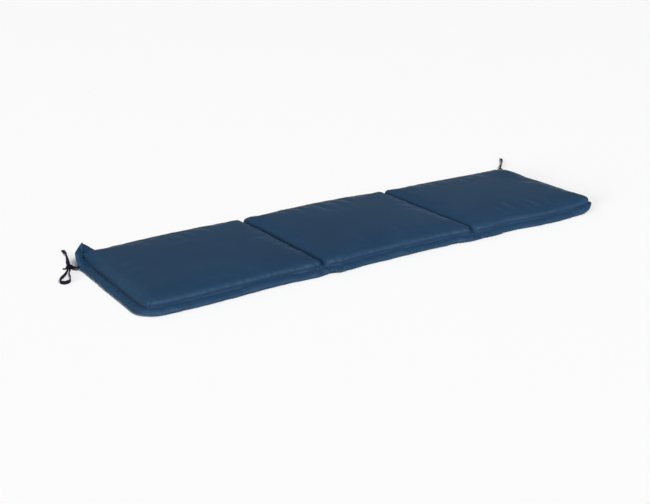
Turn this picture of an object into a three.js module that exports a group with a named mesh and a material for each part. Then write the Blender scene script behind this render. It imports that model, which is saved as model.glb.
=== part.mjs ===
import * as THREE from 'three';
import { mergeVertices } from 'three/addons/utils/BufferGeometryUtils.js';

// Cushion for a bench of three places: three foam panels in one sewn cloth cover, with a soft lip
// round the edge, one corner of the lip turned up, and tape ties at the two back corners.
// Millimetres. X runs along the seat, Y from the front edge to the back edge, Z up. The origin is
// on the surface that the cushion lies on, under its middle.

// The cushion
const LENGTH = 1497;
const DEPTH = 481;
const PANEL_HEIGHT = 38; // the foam's top at its shoulder
const CROWN = 4.5; // what the middle of a panel adds to that
const SHOULDER = 22; // how far in from the seam the top is reached
const SHOULDER_POWER = 2.3; // 2 is a round shoulder, more is a fuller one
const UNDER_EDGE = 26; // how far in from the seam the underside lies flat

// The seam round the foam, and the lip outside it
const LIP_WIDTH = 22;
const LIP_THICKNESS = 8.5;
const LIP_HEIGHT = 5.7; // middle of the lip's thickness at its outer edge
const SEAM_HEIGHT = 12; // middle of the two cloths where they are sewn together
const SEAM_THICKNESS = 4;
const LIP_ROUND = 1.8; // how far the lip's edge bulges past its upper and lower faces

// The corners seen from above. A corner turns within a square of side radius, round as a circle at
// power 2 and squarer at a higher power: the lip's outer edge by one, the seam by the other
const CORNERS = [
  { x: -1, y: -1, radius: 60, lipPower: 2, seamPower: 2.4 },
  { x: 1, y: -1, radius: 90, lipPower: 2.1, seamPower: 3.7 },
  { x: 1, y: 1, radius: 60, lipPower: 2, seamPower: 2.4 },
  { x: -1, y: 1, radius: 60, lipPower: 5, seamPower: 5 },
];

// The two sewn channels, and how far their front and back ends stray from the straight line
const CHANNELS = [
  { x: -245, front: 10, back: -12 },
  { x: 249, front: 10, back: -2 },
];
const STRAY_REACH = 130; // how far beside a channel the cover goes along with it
const PANEL_CORNER = 20; // radius of a panel's corner at a channel, seen from above

// How far the front edge lies behind the foremost line, and the back edge before the rearmost
const FRONT_EDGE = [
  { x: -750, drift: 0 },
  { x: -600, drift: 0 },
  { x: -440, drift: 8 },
  { x: -350, drift: 12 },
  { x: -275, drift: 8 },
  { x: -236, drift: 12 },
  { x: -205, drift: 5 },
  { x: -100, drift: 13 },
  { x: 185, drift: 14 },
  { x: 225, drift: 6 },
  { x: 258, drift: 8 },
  { x: 292, drift: 5 },
  { x: 390, drift: 14 },
  { x: 480, drift: 5 },
  { x: 560, drift: 3 },
  { x: 640, drift: 8 },
  { x: 750, drift: 15 },
];
const BACK_EDGE = [
  { x: -750, drift: 44 },
  { x: -640, drift: 34 },
  { x: -550, drift: 24 },
  { x: -385, drift: 17 },
  { x: -242, drift: 14 },
  { x: -60, drift: 2 },
  { x: 95, drift: 0 },
  { x: 249, drift: 9 },
  { x: 470, drift: 10 },
  { x: 680, drift: 15 },
  { x: 750, drift: 20 },
];

// Where the lip is lifted off the surface: by how much, and over what distance round (x, y)
const LIFTS = [
  { x: -233, y: -241, rise: 4, reach: 11 },
  { x: 270, y: -241, rise: 4, reach: 12 },
  { x: -242, y: 241, rise: 5, reach: 30 },
  { x: 249, y: 241, rise: 5, reach: 30 },
  { x: 750, y: -241, rise: 9, reach: 75 },
];

// Where the foam stands fuller than elsewhere, along the right side
const FULLER = [
  { x: 715, y: 140, rise: 7, reach: 60 },
  { x: 725, y: -20, rise: 4, reach: 110 },
  { x: 715, y: -185, rise: 5, reach: 45 },
];
const SEAM_LIFT = 0.5; // share of a lift that the seam takes

// The turned-up corner of the lip, at the back left. Each row says where the lip's outer edge goes
// from the seam: beside the corner on the left, behind it, and at its tip
const TURN_UP = {
  left: new THREE.Vector3(-20, 0, 9),
  back: new THREE.Vector3(0, 5, 25),
  tip: new THREE.Vector3(-3, 4, 30),
};
const TURN_UP_LEFT_REACH = 45; // it fades out over this along the left side
const TURN_UP_BACK_REACH = 75; // and over this along the back
const CORNER_RAISE = 17; // how far the seam itself is pushed up at that corner
const CORNER_RAISE_REACH = 38;

// The tape of the ties, which lies flat, or stands on its edge in the bow's loop
const TAPE_WIDTH = 7;
const TAPE_THICKNESS = 1.6;
const TAPE_CHAMFER = 0.4;
const TAPE_STEP = 17;
const BEND_STEP = 8; // where the tape bends sharply
const SLOPED_GAP = 0.6; // straight up, between two tapes that run downhill one above the other
const LIE = 0.1; // from the surface to the tape

// The knots are round lumps. A route below gives its points from the knot's middle
const KNOT_RADIUS = 9.5;
const KNOT_HEIGHT = 9;
const KNOT_SIDES = 16;
const KNOT_SHARES = [
  { radius: 0, height: 0 },
  { radius: 0.8, height: 0 },
  { radius: 1, height: 0.2 },
  { radius: 1, height: 0.65 },
  { radius: 0.7, height: 1 },
  { radius: 0, height: 1 },
];
const KNOT_OUT = 17.5; // from the cushion's side to the middle of the knot
const KNOT_Y = 172;

// From the side seam to the knot, for both tapes. out is away from the cushion. The rise is what it
// is where the lip lies on the surface
const STRAND = [
  { out: -13.4, y: -29, rise: 3.4 },
  { out: -10.7, y: -26.8, rise: 3.1 },
  { out: -8.5, y: -23.9, rise: 2.3 },
  { out: -6.8, y: -19.3, rise: 1.2 },
  { out: -5.2, y: -9.2, rise: 0.3 },
];

// The bow's loop, out from the knot and back to it. along is towards the loop's far end
const LOOP = [
  { along: 10, across: 2.6 },
  { along: 28, across: 2.9 },
  { along: 48, across: 4 },
  { along: 66, across: 7.5 },
  { along: 82, across: 12 },
  { along: 97, across: 13.5 },
  { along: 108, across: 9.5 },
  { along: 113, across: 1 },
  { along: 108, across: -8 },
  { along: 97, across: -12 },
  { along: 82, across: -11 },
  { along: 66, across: -7.5 },
  { along: 48, across: -4 },
  { along: 28, across: -2.9 },
  { along: 10, across: -2.6 },
];

// The two ties. side is -1 on the left. strandRise is how many times the rise above the strands have
// there, as the left ones leave the lip where it begins to turn up. loopAngle is counted from the
// way out, towards the back
const TIES = [
  {
    name: 'tie_left',
    side: -1,
    strandRise: 2.2,
    loopAngle: -64,
    freeEnd: [
      { out: -2.3, y: 9.9 },
      { out: -7, y: 32 },
      { out: -15, y: 62 },
      { out: -22, y: 90 },
      { out: -28, y: 116 },
      { out: -31, y: 142 },
    ],
    tail: [
      { out: 9.9, y: 1.5 },
      { out: 17.5, y: 4 },
    ],
  },
  {
    name: 'tie_right',
    side: 1,
    strandRise: 1,
    loopAngle: 120,
    freeEnd: [
      { out: 4.5, y: 9 },
      { out: 13, y: 36 },
      { out: 24, y: 74 },
      { out: 44.5, y: 118.6 },
      { out: 69.8, y: 140 },
      { out: 100, y: 169 },
      { out: 127.8, y: 200.3 },
      { out: 147.5, y: 226 },
    ],
    tail: [
      { out: 9.9, y: -1.5 },
      { out: 17.5, y: -4 },
    ],
  },
];

const navyCloth = new THREE.MeshStandardMaterial({ color: 0x2b4663, roughness: 0.85, metalness: 0 });
const darkTape = new THREE.MeshStandardMaterial({ color: 0x191527, roughness: 0.75, metalness: 0 });

const halfLength = LENGTH / 2;
const halfDepth = DEPTH / 2;
const mix = THREE.MathUtils.lerp;
const clamp = THREE.MathUtils.clamp;
const ease = (share) => THREE.MathUtils.smoothstep(share, 0, 1);

// How far a point of the flat pattern lies inside the cover's outer edge
const edgeInset = (u, v) => Math.min(halfLength - Math.abs(u), halfDepth - Math.abs(v));

// The drift at x, on a smooth line through the rows
function driftAt(rows, x) {
  const last = rows.length - 1;
  let i = rows.findIndex((row) => row.x > x) - 1;
  if (i < 0) i = x < rows[0].x ? 0 : last - 1;
  const slope = (k) => {
    const a = rows[Math.max(k - 1, 0)];
    const b = rows[Math.min(k + 1, last)];
    return (b.drift - a.drift) / (b.x - a.x);
  };
  const span = rows[i + 1].x - rows[i].x;
  const s = (x - rows[i].x) / span;
  const atStart = (1 + 2 * s) * (1 - s) ** 2 * rows[i].drift + s * (1 - s) ** 2 * span * slope(i);
  const atEnd = s * s * (3 - 2 * s) * rows[i + 1].drift - s * s * (1 - s) * span * slope(i + 1);
  return atStart + atEnd;
}

// How far the cover goes sideways along with the ends of the channels
function stray(u, v) {
  const towardsFront = clamp(-v / halfDepth, 0, 1) ** 3;
  const towardsBack = clamp(v / halfDepth, 0, 1) ** 3;
  return CHANNELS.reduce((sum, channel) => {
    const near = Math.exp(-(((u - channel.x) / STRAY_REACH) ** 2));
    return sum + near * (channel.front * towardsFront + channel.back * towardsBack);
  }, 0);
}

// From the flat pattern, a rectangle of LENGTH by DEPTH, to the plan with its corners and edges
function planPoint(u, v) {
  let x = u + stray(u, v);
  let y = v;
  const corner = CORNERS.find((row) => row.x * u >= 0 && row.y * v >= 0);
  const du = Math.abs(u) - (halfLength - corner.radius);
  const dv = Math.abs(v) - (halfDepth - corner.radius);
  if (du > 0 && dv > 0) {
    const power = mix(corner.lipPower, corner.seamPower, clamp(edgeInset(u, v) / LIP_WIDTH, 0, 1));
    const round = (du ** power + dv ** power) ** (1 / power);
    const pull = Math.max(du, dv) / round;
    x = corner.x * (halfLength - corner.radius + du * pull);
    y = corner.y * (halfDepth - corner.radius + dv * pull);
  }
  const front = -halfDepth + driftAt(FRONT_EDGE, x);
  const back = halfDepth - driftAt(BACK_EDGE, x);
  return [x, mix(front, back, (y + halfDepth) / DEPTH)];
}

// How far inside its foam panel a point is: 0 on the seams round the panel
function foamReach(u, v) {
  const edge = Math.max(edgeInset(u, v) - LIP_WIDTH, 0);
  const channel = Math.min(...CHANNELS.map((one) => Math.abs(u - one.x)));
  const shortOfEdge = Math.max(PANEL_CORNER - edge, 0);
  const shortOfChannel = Math.max(PANEL_CORNER - channel, 0);
  const rounded = PANEL_CORNER - Math.hypot(shortOfEdge, shortOfChannel);
  const nearest = Math.min(edge, channel);
  return Math.max(Math.min(rounded, nearest), 0) + Math.max(nearest - PANEL_CORNER, 0);
}

const shoulder = (share) => (1 - (1 - clamp(share, 0, 1)) ** SHOULDER_POWER) ** (1 / SHOULDER_POWER);

// 1 in the middle of a panel, 0 on its edges
function panelBulge(u, v) {
  const bounds = [-halfLength, CHANNELS[0].x, CHANNELS[1].x, halfLength];
  const panel = clamp(bounds.findIndex((bound) => bound > u) - 1, 0, 2);
  const middle = (bounds[panel] + bounds[panel + 1]) / 2;
  const across = Math.abs(u - middle) / ((bounds[panel + 1] - bounds[panel]) / 2);
  const along = Math.abs(v) / halfDepth;
  return (1 - Math.min(across, 1) ** 2.5) * (1 - along ** 2.5);
}

// The sum of soft bumps at a point, one for each row
function bumps(rows, u, v) {
  const away = (row) => Math.hypot(u - row.x, v - row.y) / row.reach;
  return rows.reduce((sum, row) => sum + row.rise * Math.exp(-(away(row) ** 2)), 0);
}

// How far a seam point is from the turned-up corner, along the left side and along the back
const pastLeft = (v) => Math.max(halfDepth - LIP_WIDTH - v, 0);
const pastBack = (u) => Math.max(u + halfLength - LIP_WIDTH, 0);

function seamHeight(u, v) {
  const away = Math.hypot(pastLeft(v), pastBack(u)) / CORNER_RAISE_REACH;
  const raise = CORNER_RAISE * Math.exp(-(away ** 2));
  return SEAM_HEIGHT + SEAM_LIFT * bumps(LIFTS, u, v) + raise;
}

// A point of the cover. side is 1 on top, -1 underneath and 0 on the outermost edge
function coverPoint(u, v, side) {
  if (edgeInset(u, v) < LIP_WIDTH) return lipPoint(u, v, side);
  const [x, y] = planPoint(u, v);
  const reach = foamReach(u, v);
  const start = seamHeight(u, v) + (side * SEAM_THICKNESS) / 2;
  if (side < 0) return new THREE.Vector3(x, y, start * (1 - shoulder(reach / UNDER_EDGE)));
  const top = Math.max(PANEL_HEIGHT + bumps(FULLER, u, v), start) + CROWN * panelBulge(u, v);
  return new THREE.Vector3(x, y, mix(start, top, shoulder(reach / SHOULDER)));
}

function lipPoint(u, v, side) {
  const seamU = clamp(u, -halfLength + LIP_WIDTH, halfLength - LIP_WIDTH);
  const seamV = clamp(v, -halfDepth + LIP_WIDTH, halfDepth - LIP_WIDTH);
  const [seamX, seamY] = planPoint(seamU, seamV);
  const seam = new THREE.Vector3(seamX, seamY, seamHeight(seamU, seamV));
  const out = 1 - edgeInset(u, v) / LIP_WIDTH;
  const [x, y] = planPoint(u, v);
  const edgeHeight = mix(SEAM_HEIGHT, LIP_HEIGHT, out ** 0.8) + bumps(LIFTS, u, v);
  const lying = new THREE.Vector3(x, y, edgeHeight).sub(seam);

  // The same point where the lip is turned up
  const outLeft = clamp((seamU - u) / LIP_WIDTH, 0, 1) * (u < 0 ? 1 : 0);
  const outBack = clamp((v - seamV) / LIP_WIDTH, 0, 1) * (v > 0 ? 1 : 0);
  const turned = new THREE.Vector3()
    .addScaledVector(TURN_UP.left, outLeft * (1 - outBack))
    .addScaledVector(TURN_UP.back, outBack * (1 - outLeft))
    .addScaledVector(TURN_UP.tip, outLeft * outBack);
  const turn =
    (1 - ease(pastLeft(seamV) / TURN_UP_LEFT_REACH)) * (1 - ease(pastBack(seamU) / TURN_UP_BACK_REACH));
  const way = lying.lerp(turned, turn);

  // The thickness stands upright at the seam, and square to the lip from half way out
  const flat = Math.hypot(way.x, way.y) || 1;
  const steep = Math.atan2(way.z, flat) * turn * ease(out * 2);
  const square = new THREE.Vector3(
    (-way.x / flat) * Math.sin(steep),
    (-way.y / flat) * Math.sin(steep),
    Math.cos(steep),
  );
  const puff = Math.sin(Math.PI * out ** 1.4);
  const half = mix(SEAM_THICKNESS, LIP_THICKNESS, puff) / 2;
  const bulge = side === 0 ? LIP_ROUND : 0;
  return seam
    .add(way)
    .addScaledVector(square, side * half)
    .addScaledVector(way.normalize(), bulge);
}

// Grid lines of the pattern: close together where the cover bends, wide apart where it is flat
function gridLines() {
  const fromEdge = [0, 5, 11, 17, LIP_WIDTH, 25, 29, 34, 41, 50, 62];
  const fromChannel = [0, 4, 9, 14, 20, 32, 50];
  const inner = fromEdge.at(-1);
  const between = (a, b, count) =>
    Array.from({ length: count }, (_, i) => mix(a, b, (i + 1) / (count + 1)));
  const [one, two] = CHANNELS.map((channel) => channel.x);
  const left = fromEdge.map((inset) => -halfLength + inset);
  const aroundOne = [...fromChannel.slice(1).map((d) => one - d), ...fromChannel.map((d) => one + d)];
  const aroundTwo = [...fromChannel.slice(1).map((d) => two - d), ...fromChannel.map((d) => two + d)];
  const right = fromEdge.map((inset) => halfLength - inset);
  const us = [
    ...left,
    ...between(-halfLength + inner, one - fromChannel.at(-1), 6),
    ...aroundOne,
    ...between(one + fromChannel.at(-1), two - fromChannel.at(-1), 6),
    ...aroundTwo,
    ...between(two + fromChannel.at(-1), halfLength - inner, 6),
    ...right,
  ];
  const front = fromEdge.map((inset) => -halfDepth + inset);
  const back = fromEdge.map((inset) => halfDepth - inset);
  const vs = [...front, ...between(-halfDepth + inner, halfDepth - inner, 6), ...back];
  const inOrder = (list) => list.sort((a, b) => a - b);
  return { us: inOrder(us), vs: inOrder(vs) };
}

// A box with a face for each cell of the grid, moved onto the cover point by point. Its two layers
// make the upper and the lower half of the lip's edge
function cushion() {
  const { us, vs } = gridLines();
  const box = new THREE.BoxGeometry(1, 1, 1, us.length - 1, vs.length - 1, 2);
  box.deleteAttribute('normal');
  box.deleteAttribute('uv');
  const geometry = mergeVertices(box);
  const position = geometry.getAttribute('position');
  for (let i = 0; i < position.count; i += 1) {
    const u = us[Math.round((position.getX(i) + 0.5) * (us.length - 1))];
    const v = vs[Math.round((position.getY(i) + 0.5) * (vs.length - 1))];
    const side = Math.sign(Math.round(position.getZ(i) * 4));
    const point = coverPoint(u, v, side);
    position.setXYZ(i, point.x, point.y, point.z);
  }
  geometry.computeVertexNormals();
  const mesh = new THREE.Mesh(geometry, navyCloth);
  mesh.name = 'cushion';
  return mesh;
}

// A length of tape on a smooth line through the points, which are at the middle of its thickness
function tape(name, points, { upright = false, step = TAPE_STEP } = {}) {
  const route = new THREE.CatmullRomCurve3(points, false, 'centripetal');
  const high = (upright ? TAPE_WIDTH : TAPE_THICKNESS) / 2;
  const wide = (upright ? TAPE_THICKNESS : TAPE_WIDTH) / 2;
  const corner = (x, y) => [
    new THREE.Vector2(x * high, y * (wide - TAPE_CHAMFER)),
    new THREE.Vector2(x * (high - TAPE_CHAMFER), y * wide),
  ];
  const section = new THREE.Shape([
    ...corner(1, 1),
    ...corner(-1, 1).reverse(),
    ...corner(-1, -1),
    ...corner(1, -1).reverse(),
  ]);
  const geometry = new THREE.ExtrudeGeometry(section, {
    steps: Math.ceil(route.getLength() / step),
    extrudePath: route,
    bevelEnabled: false,
  });
  const mesh = new THREE.Mesh(geometry, darkTape);
  mesh.name = name;
  return mesh;
}

function knot(name, middle) {
  const profile = KNOT_SHARES.map(
    (row) => new THREE.Vector2(row.radius * KNOT_RADIUS, row.height * KNOT_HEIGHT),
  );
  const mesh = new THREE.Mesh(new THREE.LatheGeometry(profile, KNOT_SIDES), darkTape);
  mesh.name = name;
  mesh.position.copy(middle);
  mesh.rotation.x = Math.PI / 2;
  return mesh;
}

// Two tapes from the side seam, tied in a half bow: one comes out of the knot as the free end, the
// other makes the loop and ends in the tail
function tie({ name, side, strandRise, loopAngle, freeEnd, tail }) {
  const middle = new THREE.Vector3(side * (halfLength + KNOT_OUT), KNOT_Y, LIE);
  const lying = TAPE_THICKNESS / 2;
  const place = ({ out, y, rise = 0 }, height) =>
    new THREE.Vector3(side * out, y, rise + height).add(middle);
  const angle = THREE.MathUtils.degToRad(loopAngle);
  const loopPoint = ({ along, across }) => ({
    out: along * Math.cos(angle) - across * Math.sin(angle),
    y: along * Math.sin(angle) + across * Math.cos(angle),
  });
  const bend = { step: BEND_STEP };
  const strand = (height) =>
    STRAND.map((row) => place({ ...row, rise: row.rise * strandRise }, height));
  return [
    tape(`${name}_strand_a`, strand(lying), bend),
    tape(`${name}_strand_b`, strand(lying + TAPE_THICKNESS + SLOPED_GAP), bend),
    knot(`${name}_knot`, middle),
    tape(`${name}_free_end`, freeEnd.map((row) => place(row, lying))),
    tape(
      `${name}_loop`,
      LOOP.map((row) => place(loopPoint(row), TAPE_WIDTH / 2)),
      { upright: true, step: BEND_STEP },
    ),
    tape(`${name}_tail`, tail.map((row) => place(row, lying))),
  ];
}

const group = new THREE.Group();
group.add(cushion(), ...TIES.flatMap(tie));

export default group;
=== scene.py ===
# %% [markdown]
# # A bench cushion in navy cloth
# The real object is a long seat cushion: three foam panels in one sewn cover, parted by two sewn
# channels, with a soft lip all round and tape ties at the two back corners. The solids of the CAD
# part say where everything is. This script dresses them: it makes the cover again with a finer
# mesh, blows it up a little with a cloth simulation, sews its details on, and gives it its cloth.

# %% Load the frame
import math

import bmesh
import bpy
import numpy as np
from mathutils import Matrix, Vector


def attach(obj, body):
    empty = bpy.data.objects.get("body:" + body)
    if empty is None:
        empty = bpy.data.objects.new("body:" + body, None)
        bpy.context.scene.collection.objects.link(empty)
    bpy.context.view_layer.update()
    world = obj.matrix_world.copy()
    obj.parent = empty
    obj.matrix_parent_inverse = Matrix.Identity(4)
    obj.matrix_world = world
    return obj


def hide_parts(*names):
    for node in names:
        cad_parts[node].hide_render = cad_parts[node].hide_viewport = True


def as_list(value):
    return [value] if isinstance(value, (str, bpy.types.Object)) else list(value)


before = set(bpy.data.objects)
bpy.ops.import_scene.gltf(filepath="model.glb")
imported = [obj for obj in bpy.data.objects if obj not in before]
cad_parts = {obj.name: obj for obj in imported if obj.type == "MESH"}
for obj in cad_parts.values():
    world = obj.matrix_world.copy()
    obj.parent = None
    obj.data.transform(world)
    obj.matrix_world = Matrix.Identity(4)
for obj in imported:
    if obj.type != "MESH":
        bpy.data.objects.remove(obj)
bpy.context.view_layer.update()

# %% [markdown]
# ## Units and colours
# A maker of soft goods thinks in millimetres and Blender counts in metres, so every size below is
# in millimetres and is turned into metres when it reaches a mesh. Colours are easy to pick as hex
# values, but a shader mixes light, not screen values, so one function turns them into linear ones.

# %% Units and colours
MM = 0.001


def linear(hex_colour):
    """An sRGB hex colour as linear red, green, blue and alpha."""
    parts = [int(hex_colour[i : i + 2], 16) / 255 for i in (1, 3, 5)]
    return [c / 12.92 if c <= 0.04045 else ((c + 0.055) / 1.055) ** 2.4 for c in parts] + [1.0]


# %% [markdown]
# ## The camera
# It stands in front of the cushion's left end, a little above it, and looks along the seat. Its
# place was solved from straight edges that run along, across and up in the picture, so it is set
# with plain numbers: where it is, how far it turns to the right and how far it looks down.

# %% Camera
CAMERA_PLACE = (-1.5494, -2.2109, 0.9166)
CAMERA_TURN = 33.247  # degrees from straight ahead, to the right
CAMERA_DOWN = 19.795  # degrees below the horizon
CAMERA_LENS = 56.18  # mm, on a sensor 36 mm wide

camera_data = bpy.data.cameras.new("photo_camera")
camera_data.lens = CAMERA_LENS
camera_data.sensor_width = 36
camera = bpy.data.objects.new("photo_camera", camera_data)
camera.location = CAMERA_PLACE
camera.rotation_euler = (math.radians(90 - CAMERA_DOWN), 0, math.radians(-CAMERA_TURN))
bpy.context.scene.collection.objects.link(camera)
bpy.context.scene.camera = camera

# %% [markdown]
# ## Helpers for meshes
# Every piece is made with a bmesh, which holds a mesh while it is worked on. A finished bmesh
# becomes an object that stays at the origin, so that patterns on Object coordinates don't slide.


# %% Mesh helpers
def finish_piece(name, bm, material=None, smooth=True):
    """Turns a bmesh into an object that rides on the cushion."""
    mesh = bpy.data.meshes.new(name)
    bm.to_mesh(mesh)
    bm.free()
    for polygon in mesh.polygons:
        polygon.use_smooth = smooth
    if material:
        mesh.materials.append(material)
    piece = bpy.data.objects.new(name, mesh)
    bpy.context.scene.collection.objects.link(piece)
    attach(piece, "root")
    return piece


def places(mesh):
    """The vertices of a mesh as an array with a row for each."""
    flat = np.empty(len(mesh.vertices) * 3)
    mesh.vertices.foreach_get("co", flat)
    return flat.reshape(-1, 3)


def place_all(mesh, rows):
    mesh.vertices.foreach_set("co", np.ascontiguousarray(rows).ravel())
    mesh.update()


def smooth_line(points, step):
    """Points every step along a smooth curve through the given ones, with any further columns."""
    rows = np.array(points, float)
    ends = [2 * rows[0] - rows[1]], [2 * rows[-1] - rows[-2]]
    p = np.concatenate([ends[0], rows, ends[1]])
    line = []
    for a, b, c, d in zip(p, p[1:], p[2:], p[3:]):
        knots = np.cumsum([0.0] + [np.linalg.norm((y - x)[:3]) ** 0.5 for x, y in ((a, b), (b, c), (c, d))])
        count = max(1, math.ceil(np.linalg.norm((c - b)[:3]) / step))
        for t in knots[1] + (knots[2] - knots[1]) * np.arange(count) / count:
            blend = lambda x, y, i, j: ((knots[j] - t) * x + (t - knots[i]) * y) / (knots[j] - knots[i])
            ab, bc, cd = blend(a, b, 0, 1), blend(b, c, 1, 2), blend(c, d, 2, 3)
            line.append(blend(blend(ab, bc, 0, 2), blend(bc, cd, 1, 3), 1, 2))
    return np.array(line + [rows[-1]])


# %% [markdown]
# ## The ties
# Each back corner has two woven tapes, sewn in the side seam and tied in a half bow. One tape comes
# out of the knot as the free end. The other makes the loop and ends in a short tail. A tape is thin
# and limp, so it is a long narrow grid that is laid along its route and twisted as it goes. It
# could be a curve with a flat profile, but a grid keeps a clean map along the tape for its weave.
# The routes are the same as the solids', counted from the middle of the knot: how far out from the
# cushion, how far back, how high above the ground, and how far the tape has turned on its edge,
# from 0 where it lies flat to 1 where it stands.

# %% Routes of the ties
HALF_LENGTH = 748.5
KNOT_OUT, KNOT_Y = 17.5, 172
TAPE_WIDTH = 9.6
TAPE_THICKNESS = 1.1
TAPE_LIE = 1.0  # height of the middle of a tape that lies flat

STRAND = [  # out, y, rise over the seam's height there, turn
    (-15.6, -30.5, 3.7, 0.0),
    (-13.4, -29.0, 3.5, 0.0),
    (-10.7, -26.8, 3.3, 0.0),
    (-8.5, -23.9, 2.9, 0.0),
    (-6.8, -19.3, 2.3, 0.0),
    (-5.2, -9.2, 1.2, 0.0),
]
LOOP = [  # along towards the loop's far end, across
    (10, 2.6), (28, 2.9), (48, 4), (66, 7.5), (82, 12), (97, 13.5), (108, 9.5), (113, 1),
    (108, -8), (97, -12), (82, -11), (66, -7.5), (48, -4), (28, -2.9), (10, -2.6),
]
TIES = {
    "tie_left": {
        "side": -1,
        "strand_rise": 2.2,
        "through": [(-3.8, -2.6), (-1.0, 2.2), (3.6, 2.6), (6.6, -1.6)],
        "back_through": [(2.4, -4.0), (4.8, 0.2)],
        "loop_angle": -64,
        "free_end": [(-2.3, 9.9, 0), (-7, 32, 0.1), (-15, 62, 0.6), (-22, 90, 1.0), (-28, 116, 1.9), (-31, 142, 2.0)],
        "tail": [(9.9, 1.5), (17.5, 4)],
    },
    "tie_right": {
        "side": 1,
        "strand_rise": 1.0,
        "through": [(0, 0)],
        "back_through": [(1, 0.5)],
        "loop_angle": 120,
        "free_end": [
            (4.5, 9, 0), (13, 36, 0), (24, 74, 0.3), (44.5, 118.6, 1.0), (69.8, 140, 1.1), (100, 169, 1.0),
            (127.8, 200.3, 1.6), (147.5, 226, 2.0),
        ],
        "tail": [(9.9, -1.5), (17.5, -4)],
    },
}


# %% A tape along its route
def tape(name, route, width=TAPE_WIDTH, step=2.0):
    """A woven tape through (x, y, z, turn) rows in mm. Returns the piece and its middle line."""
    line = smooth_line(route, step)
    middle, turn = line[:, :3], line[:, 3]
    along = np.gradient(middle, axis=0)
    along /= np.linalg.norm(along, axis=1)[:, None]
    level = np.cross(along, (0, 0, 1))
    level /= np.linalg.norm(level, axis=1)[:, None]
    upward = np.cross(level, along)
    angle = turn * math.pi / 2
    across = level * np.cos(angle)[:, None] + upward * np.sin(angle)[:, None]
    distance = np.r_[0, np.cumsum(np.linalg.norm(np.diff(middle, axis=0), axis=1))]

    bm = bmesh.new()
    strips = 6
    bmesh.ops.create_grid(bm, x_segments=len(line) - 1, y_segments=strips, size=0.5, calc_uvs=True)
    uv_map = bm.loops.layers.uv.new("UVMap") if not bm.loops.layers.uv else bm.loops.layers.uv[0]
    for vertex in bm.verts:
        i = round((vertex.co.x + 0.5) * (len(line) - 1))
        sideways = vertex.co.y * width
        round_end = max(0.0, 1 - distance[i] / 2.5, 1 - (distance[-1] - distance[i]) / 2.5)
        sideways *= 1 - 0.35 * round_end**2
        for loop in vertex.link_loops:
            loop[uv_map].uv = (distance[i] * MM, sideways * MM)
        vertex.co = Vector((middle[i] + across[i] * sideways) * MM)
        vertex.co.z = max(vertex.co.z, TAPE_THICKNESS * 0.55 * MM)
    bmesh.ops.recalc_face_normals(bm, faces=bm.faces)
    piece = finish_piece(name, bm)
    thick = piece.modifiers.new("tape_thickness", "SOLIDIFY")
    thick.thickness = TAPE_THICKNESS * MM
    thick.offset = 0
    return piece, middle * MM, distance[-1] * MM


def tie_pieces(name, tie):
    knot_x = tie["side"] * (HALF_LENGTH + KNOT_OUT)

    def at(out, y, height, turn=0.0):
        return (knot_x + tie["side"] * out, KNOT_Y + y, height, turn)

    def strand(height):
        return [at(out, y, height + rise * tie["strand_rise"], turn) for out, y, rise, turn in STRAND]

    def lying(turn):
        """Height of a tape's middle when it has turned on its edge by that much."""
        return TAPE_LIE + (TAPE_WIDTH / 2 - TAPE_LIE + 0.5) * abs(math.sin(turn * math.pi / 2))

    free_end = [at(out, y, lying(turn), turn) for out, y, turn in tie["free_end"]]
    angle = math.radians(tie["loop_angle"])
    loop = []
    for along, across in LOOP:
        out = along * math.cos(angle) - across * math.sin(angle)
        y = along * math.sin(angle) + across * math.cos(angle)
        loop.append(at(out, y, TAPE_WIDTH / 2 + 0.3, 1.0))
    tail = [at(out, y, TAPE_LIE, 0.0) for out, y in tie["tail"]]
    through = [at(out, y, 4.4, 0.3 + 0.1 * k) for k, (out, y) in enumerate(tie["through"])]
    back_through = [at(out, y, 5.6, 0.5) for out, y in tie["back_through"]]

    tape_a, line_a, length_a = tape(f"{name}_tape_a", strand(TAPE_LIE) + [at(-1, 1, 1.6, 0)] + free_end)
    tape_b, line_b, length_b = tape(
        f"{name}_tape_b", strand(TAPE_LIE + 2.0) + through + loop + back_through + tail
    )
    return tape_a, line_a, length_a, tape_b, line_b, length_b


# %% Tie them
tapes = {}
for tie_name, tie in TIES.items():
    tape_a, line_a, length_a, tape_b, line_b, length_b = tie_pieces(tie_name, tie)
    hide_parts(f"{tie_name}_strand_a", f"{tie_name}_free_end")
    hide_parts(f"{tie_name}_strand_b", f"{tie_name}_loop", f"{tie_name}_tail")
    tapes[tie_name] = (tape_a, line_a, length_a, tape_b, line_b, length_b)
    print(tie_name, "tapes", round(length_a, 3), "m and", round(length_b, 3), "m long")

# %% [markdown]
# ## The knots
# The knot of a half bow is a lump of tape: one turn goes square over the strands and another goes
# slantwise under it. Two closed rings of tape round a small core give that look. A full knot could
# be traced as one route, but at this size only its outer turns show.


# %% Turns of tape round the knot
def ring_of_tape(bm, centre, axis_angle, half_wide, half_high, width, lean):
    """One turn of tape round a level axis, added to a bmesh. All sizes in mm."""
    count = 28
    axis = Vector((math.cos(axis_angle), math.sin(axis_angle), 0))
    out = Vector((-axis.y, axis.x, 0))
    ring = bmesh.ops.create_grid(bm, x_segments=count, y_segments=4, size=0.5, calc_uvs=True)
    for vertex in ring["verts"]:
        turn = (vertex.co.x + 0.5) * 2 * math.pi
        sideways = vertex.co.y * width
        fold = 1 - 0.12 * (2 * sideways / width) ** 2
        slip = lean * math.sin(turn)
        place = centre + out * (half_wide * fold * math.cos(turn)) + axis * (sideways + slip)
        place.z += half_high * fold * math.sin(turn)
        vertex.co = place * MM
    return ring["verts"]


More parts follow.
